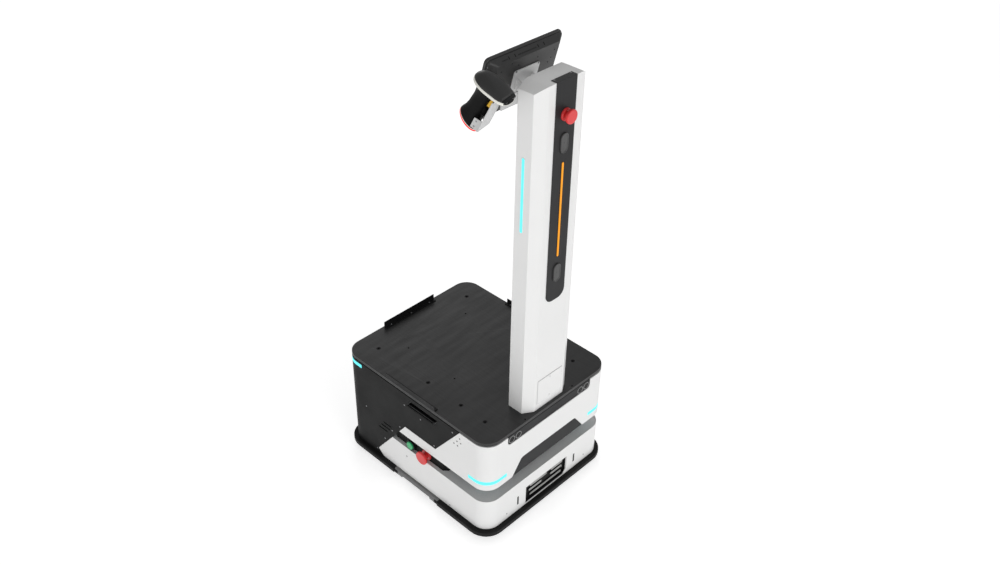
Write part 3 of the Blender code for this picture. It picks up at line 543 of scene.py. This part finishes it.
def mast_details():
    with Detail("mast_estop_collar", "estop_red", "base", "estop_red") as mesh:
        lathe(mesh, placed((0, MAST_STRIP_Y, 1257), (0, -1, 0)),
              [(0.2, 16.2), (4.2, 16.0), (5.4, 15.2), (5.4, 8.9), (0.2, 8.9)], 36, True)
    with Detail("strip_screws", "screw_steel", "base", "steel") as mesh:
        screws(mesh, [(x, -270.2, 1345.7) for x in (-28.5, 28.5)], (0, 0, 1), 0.8, 16)
    with Detail("status_light_frame", "black_trim", "base", "black_trim") as mesh:
        at = placed((0, MAST_STRIP_Y, 997), (0, -1, 0), (1, 0, 0))
        loops = [[at @ Vector((*p, z)) for p in rounded(half, 134 + half - 3, half - 0.01, (0, 0), 6)]
                 for half, z in ((3.3, -0.2), (3.3, 0.5), (4.0, 0.7), (4.9, 0.25), (4.9, -0.2))]
        skin(mesh, loops, True)
    for label, z in (("upper", 1183), ("lower", 814)):
        with Detail("pill_rim_" + label, "button_dark", "pill_button_" + label, "button_grey") as mesh:
            at = placed((0, MAST_STRIP_Y - 2.6, z), (0, -1, 0), (1, 0, 0))
            rim = ((12.9, -0.3), (12.8, 0.5), (11.9, 1.0), (10.9, 0.9), (10.1, 0.2), (10.0, -0.3))
            loops = [[at @ Vector((*p, h)) for p in rounded(half, half + 13.3, half - 0.01, (0, 0), 8)]
                     for half, h in rim]
            skin(mesh, loops, True)
            lathe(mesh, at, [(-0.2, 2.2), (0.35, 2.0), (0.5, 1.2), (0.52, 0.05)], 16)
    with Detail("access_cover_seam", "seam_grey", "base", "grey_plate") as mesh:
        at = placed((0, -283.2, 434), (0, -1, 0), (1, 0, 0))
        loops = [[at @ Vector((*p, h)) for p in rounded(47.5 + out, 40 + out, 2.0)]
                 for out, h in ((0.1, -0.2), (0.1, 0.25), (1.2, 0.25), (1.3, -0.2))]
        skin(mesh, loops, True)
        for z, lean in ((467, 1), (401, -1)):
            for side in (-1, 1):
                nick = placed((side * 1.8, -284.2, z), (0, -1, 0), (side * 0.55, 0, lean))
                slab(mesh, nick, rounded(3.6, 0.55, 0.5), -0.1, 0.12, 0.1)
    with Detail("mast_rear_screws", "screw_steel", "base", "steel") as mesh:
        rear_cover = [(x, MAST_BACK_Y, z) for x in (-76, 76) for z in (392, 620, 850, 1080, 1230)]
        mount = [(x, MOUNT_BACK_Y, z) for x in (-31, 31) for z in (1256, 1321)]
        screws(mesh, rear_cover + mount, (0, 1, 0), 0.9, 16)
    for side, label in ((-1, "left"), (1, "right")):
        with Detail("mast_light_bed_" + label, "white_cover", "base", "white_cover") as mesh:
            at = placed((side * 88, -239.5, 1055), (side, 0, 0), (0, 1, 0))
            loops = [[at @ Vector((*p, h)) for p in rounded(half, half + 99.2, half - 0.01, (0, 0), 6)]
                     for half, h in ((4.05, -0.2), (4.05, 0.8), (4.8, 0.9), (5.4, 0.15), (5.4, -0.2))]
            skin(mesh, loops, True)


TILT = math.radians(15)
TABLET_TOP = Vector((0, -147, 1388))
BACKWARD = Vector((0, -math.cos(TILT), -math.sin(TILT)))
DOWNWARD = Vector((0, math.sin(TILT), -math.cos(TILT)))
ACROSS = Vector((1, 0, 0))
HOUSING_BACK = 27.4
PLATE_BACK = 30.2


def on_tablet(x, back, down):
    return TABLET_TOP + ACROSS * x + BACKWARD * back + DOWNWARD * down


def tablet_details():
    front = placed(on_tablet(0, 1.0, 84), -BACKWARD, ACROSS)
    with Detail("tablet_glass", "screen_glass", "tablet", "screen_black") as mesh:
        slab(mesh, front, rounded(110.5, 69.5, 3), 0.15, 0.75, 0.4)
    with Detail("tablet_front_trim", "button_dark", "tablet", "screen_black") as mesh:
        top = placed(on_tablet(0, 0, 7), -BACKWARD, ACROSS)
        lathe(mesh, top, [(-0.3, 2.6), (0.15, 2.6), (0.2, 1.9), (-0.1, 1.6), (-0.1, 0.05)])
        low = placed(on_tablet(0, 0, 161), -BACKWARD, ACROSS)
        for x in (-36, -18, 0, 18, 36):
            slab(mesh, low @ Matrix.Translation((x, 0, 0)), rounded(6, 1.9, 1.8), -0.2, 0.35)
    rise = (on_tablet(0, 25.9, 12) - on_tablet(0, 14, 5)).normalized()
    out = rise.cross(ACROSS)
    if out.z < 0:
        out = -out
    slope = placed(on_tablet(0, 19.5, 8.2), out, ACROSS)
    with Detail("tablet_top_slots", "black_trim", "tablet", "black_trim") as mesh:
        for x in (-64, -44, 33, 53):
            slab(mesh, slope, rounded(1.3, 4.2, 1.2, (x, 0)), -0.3, 0.12, 0.1)
        for k in range(22):
            slab(mesh, slope, rounded(0.7, 1.6, 0.6, (-34 + 2.8 * k, -1.5)), -0.3, 0.1, 0.1)
        for k in range(7):
            slab(mesh, slope, rounded(0.7, 1.6, 0.6, (-86 + 2.8 * k, -1.5)), -0.3, 0.1, 0.1)
    with Detail("tablet_rear_screws", "black_trim", "tablet", "steel") as mesh:
        spots = ((32, 34), (90, 33), (84, 53), (76, 64), (-57, 22), (-90, 33), (-32, 34), (-90, 130),
                 (90, 130), (-95, 60))
        screws(mesh, [on_tablet(x, HOUSING_BACK, down) for x, down in spots], BACKWARD, 0.55, 14)
    with Detail("tablet_seam", "button_dark", "tablet", "dark_cover") as mesh:
        at = placed(on_tablet(0, 11.6, 84), BACKWARD, ACROSS)
        loops = [[at @ Vector((*p, z)) for p in rounded(u, v, r)]
                 for u, v, r, z in ((124.6, 80.6, 8.6, -0.5), (124.9, 80.9, 8.9, 0), (124.6, 80.6, 8.6, 0.5),
                                    (122, 78, 7, 0.5), (122, 78, 7, -0.5))]
        skin(mesh, loops, True)
    with Detail("tablet_side_light", "screw_steel", "tablet", "steel") as mesh:
        for x in (-123.6, 123.6):
            screws(mesh, [on_tablet(x, 12, down) for down in (18, 150)], (x, 0, 0), 0.6, 14)
    with Detail("display_plate_screws", "screw_steel", "tablet", "steel") as mesh:
        places = [on_tablet(x, PLATE_BACK, down) for x in (-37.5, 37.5) for down in (50, 125)]
        screws(mesh, places, BACKWARD, 0.9, 16)


YAW, PITCH = math.radians(12), math.radians(26)
NOSE = Vector((math.sin(YAW) * math.cos(PITCH), -math.cos(YAW) * math.cos(PITCH), -math.sin(PITCH)))
SIDE = Vector((math.cos(YAW), math.sin(YAW), 0))
UP = NOSE.cross(SIDE)
SCANNER_AT = Vector((-160, -196, 1350))
BASE_LEAN = 0.42


def on_scanner(forward, side, up):
    return SCANNER_AT + NOSE * forward + SIDE * side + UP * up


def head_outline(grow, steps=48):
    """The scanner head's widest outline, pushed outwards by grow."""
    outline = []
    for k in range(steps):
        a = 2 * math.pi * k / steps
        c, s = math.cos(a), math.sin(a)
        reach = (54.5 if c > 0 else 47.0) + grow
        blunt = 0.42 if c > 0 else 0.95
        forward = 8 + reach * math.copysign(abs(c) ** blunt, c)
        round_off = 0.8 if c > 0 else 0.95
        across = (34 + grow) * math.copysign(abs(s) ** round_off, s) * (1 - 0.08 * max(c, 0))
        outline.append((forward, across))
    return outline


def scanner_details():
    with Detail("scanner_band", "cream_plastic", "scanner", "white_cover", 50) as mesh:
        outer, inner, crest = head_outline(0.55), head_outline(-2.0), head_outline(-0.2)

        def top(point):
            """The band dips under the window at the nose."""
            return 1.3 if point[0] > 56 and abs(point[1]) < 25.5 else 6.6

        loops = [[on_scanner(*p, 0.0) for p in inner], [on_scanner(*p, 0.0) for p in outer],
                 [on_scanner(*p, top(p) - 0.7) for p in outer], [on_scanner(*p, top(p)) for p in crest],
                 [on_scanner(*p, top(q) - 0.2) for p, q in zip(inner, outer)]]
        skin(mesh, loops, True)
    window = placed(on_scanner(50, 0, 4.9), NOSE, SIDE)
    with Detail("scanner_window", "screen_glass", "scanner", "black_trim") as mesh:
        slab(mesh, window, rounded(24.4, 3.1, 1.5), 0.1, 8.6, 1.8)
        lathe(mesh, window, [(8.4, 2.7), (9.3, 2.6), (9.6, 2.0), (9.1, 1.5), (9.1, 0.05)])
    with Detail("scanner_lens_rings", "button_dark", "scanner", "black_trim") as mesh:
        for side in (-14, 14):
            lathe(mesh, window @ Matrix.Translation((side, 0, 0)),
                  [(8.4, 2.2), (9.0, 2.1), (9.2, 1.6), (8.8, 1.2), (8.8, 0.05)], 20)
    with Detail("scanner_indicator", "black_trim", "scanner", "black_trim") as mesh:
        at = placed(on_scanner(-17, 0, 20.6), UP * 0.93 - NOSE * 0.36, SIDE)
        lathe(mesh, at, [(-1, 3.0), (0.5, 3.0), (0.7, 2.4), (0.3, 1.8), (0.3, 0.05)], 20)
        loops = [[at @ Vector((p[0], p[1], z)) for p in rounded(u, v, min(u, v) - 0.1, (0, 0), 6)]
                 for u, v, z in ((9.0, 7.6, -0.9), (9.0, 7.6, 0.25), (8.4, 7.0, 0.25), (8.4, 7.0, -0.9))]
        skin(mesh, loops, True)

    def oval(forward, half_f, half_s, up, steps=40):
        """A level of the sloping base."""
        turns = [2 * math.pi * k / steps for k in range(steps)]
        return [on_scanner(forward + half_f * math.cos(a), half_s * math.sin(a),
                           up - BASE_LEAN * half_f * math.cos(a)) for a in turns]

    with Detail("scanner_base_ring", "ring_red_painted_glow", "scanner", "estop_red") as mesh:
        skin(mesh, [oval(-5, 27.6, 22.4, -109.9), oval(-5, 29.5, 24.1, -108.6), oval(-5, 29.9, 24.4, -107.4),
                    oval(-5, 29.7, 24.2, -105.2), oval(-5, 27, 21, -105.4)], True)
    with Detail("scanner_base_line", "cream_plastic", "scanner", "white_cover") as mesh:
        skin(mesh, [oval(-5, 29.4, 23.9, -105.1), oval(-5, 29.6, 24.1, -104.4), oval(-5, 29.2, 23.7, -103.6),
                    oval(-5, 27, 21, -104.4)], True)
    with Detail("holder_screws", "screw_steel", "base", "steel") as mesh:
        for side in (-1, 1):
            places = [on_scanner(20, side * 24.5, up) for up in (-81, -97)]
            screws(mesh, places, SIDE * side, 0.75, 14)
        screws(mesh, [(x, HOLDER_ARM_Y, 1303) for x in (-78, -52)], (0, 1, 0), 0.9, 16)


def running_gear_details():
    for end, y in (("front", -207), ("rear", 243)):
        for side, label in ((-1, "left"), (1, "right")):
            corner = f"{end}_{label}"
            with Detail(f"caster_axle_{corner}", "screw_steel", f"caster_fork_{corner}", "steel") as mesh:
                for out in (-1, 1):
                    lathe(mesh, placed((side * 185 + out * 13.0, y, 25), (out, 0, 0)),
                          [(-0.4, 6.2), (1.0, 6.2), (1.2, 4.6), (4.0, 4.4), (4.4, 3.8), (4.4, 0.05)], 6)
    for side, label in ((-1, "left"), (1, "right")):
        axle = Vector((side * 234, -10, 65))
        with Detail("drive_hub_" + label, "motor_metal", "drive_wheel_" + label, "motor_metal") as mesh:
            lathe(mesh, placed(axle, (side, 0, 0)),
                  [(-8.8, 40), (-5, 44), (-4.4, 44), (-4.4, 20), (-2, 18), (-1.6, 0.05)], 40)
        with Detail("drive_bolts_" + label, "screw_steel", "drive_wheel_" + label, "steel") as mesh:
            turns = [2 * math.pi * k / 5 for k in range(5)]
            places = [axle + Vector((side * -4.4, 30 * math.cos(a), 30 * math.sin(a))) for a in turns]
            screws(mesh, places, (side, 0, 0), 1.2, 16)


deck_details()
cover_details()
side_details()
mast_details()
tablet_details()
scanner_details()
running_gear_details()
